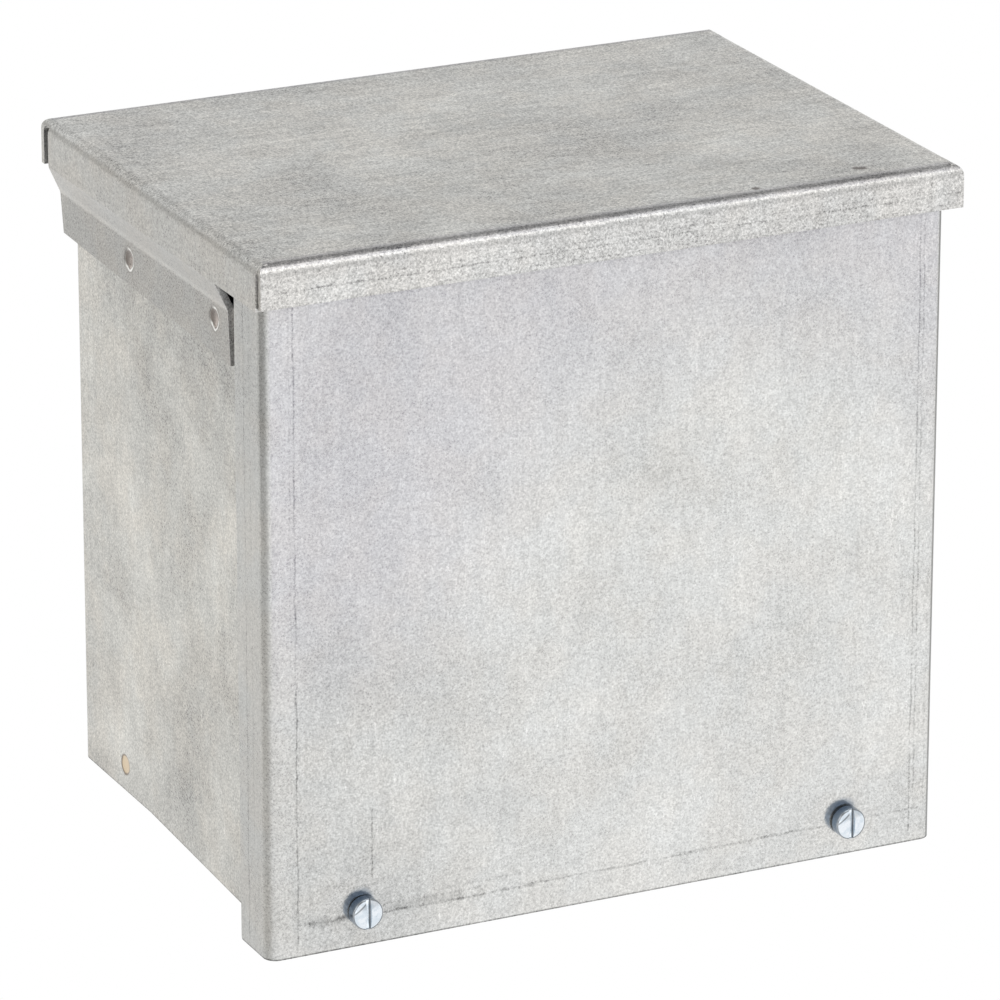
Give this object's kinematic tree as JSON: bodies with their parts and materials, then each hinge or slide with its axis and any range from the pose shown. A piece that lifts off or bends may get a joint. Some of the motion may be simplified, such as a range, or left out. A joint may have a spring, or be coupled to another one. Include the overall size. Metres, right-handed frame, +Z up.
{
  "type": "electrical junction box",
  "caption": "Rain-tight galvanised sheet-steel junction box with a drip-hood top, a slip-on front cover held by slotted screws, stand-off wall bosses and bottom conduit knockouts.",
  "frame": {"origin": "x = 0 on the plane of symmetry, z = 0 at the underside of the cover, y = 0 half way between the wall plane and the face of the front drip lip", "axes": "+Z up, +X to the right seen from the front, the cover faces -Y and the wall is at +Y"},
  "size_m": [0.161, 0.115, 0.1524],
  "materials": {
    "galvanised_steel": "satin",
    "galvanised_hood": "satin",
    "galvanised_cover": "satin",
    "bright_zinc": "bright",
    "zinc_nut": "satin",
    "green_zinc": "bright"
  },
  "bodies": {
    "enclosure": {"body_wrap": "galvanised_steel", "bottom_panel": "galvanised_steel", "drip_hood": "galvanised_hood", "knockout_slug_left": "galvanised_steel", "knockout_slug_centre": "galvanised_steel", "knockout_slug_right": "galvanised_steel", "knockout_ring_three_quarter_left": "galvanised_steel", "knockout_ring_three_quarter_centre": "galvanised_steel", "knockout_ring_three_quarter_right": "galvanised_steel", "knockout_ring_one_inch_centre": "galvanised_steel"},
    "cover": {"front_cover": "galvanised_cover", "cover_nut_left": "zinc_nut", "cover_nut_right": "zinc_nut"},
    "cover_screw_left": {"cover_screw_left": "bright_zinc"},
    "cover_screw_right": {"cover_screw_right": "bright_zinc"},
    "ground_screw": {"ground_screw": "green_zinc"}
  },
  "joints": [
    {"name": "cover_slide", "type": "slide", "parent": "enclosure", "child": "cover", "axis": [0, 0, -1], "range_m": [0, 0.155]},
    {"name": "cover_screw_left_back_off", "type": "slide", "parent": "cover", "child": "cover_screw_left", "axis": [0, -1, 0], "range_m": [0, 0.005]},
    {"name": "cover_screw_right_back_off", "type": "slide", "parent": "cover", "child": "cover_screw_right", "axis": [0, -1, 0], "range_m": [0, 0.005]},
    {"name": "ground_screw_back_off", "type": "slide", "parent": "enclosure", "child": "ground_screw", "axis": [0, -1, 0], "range_m": [0, 0.01]}
  ]
}
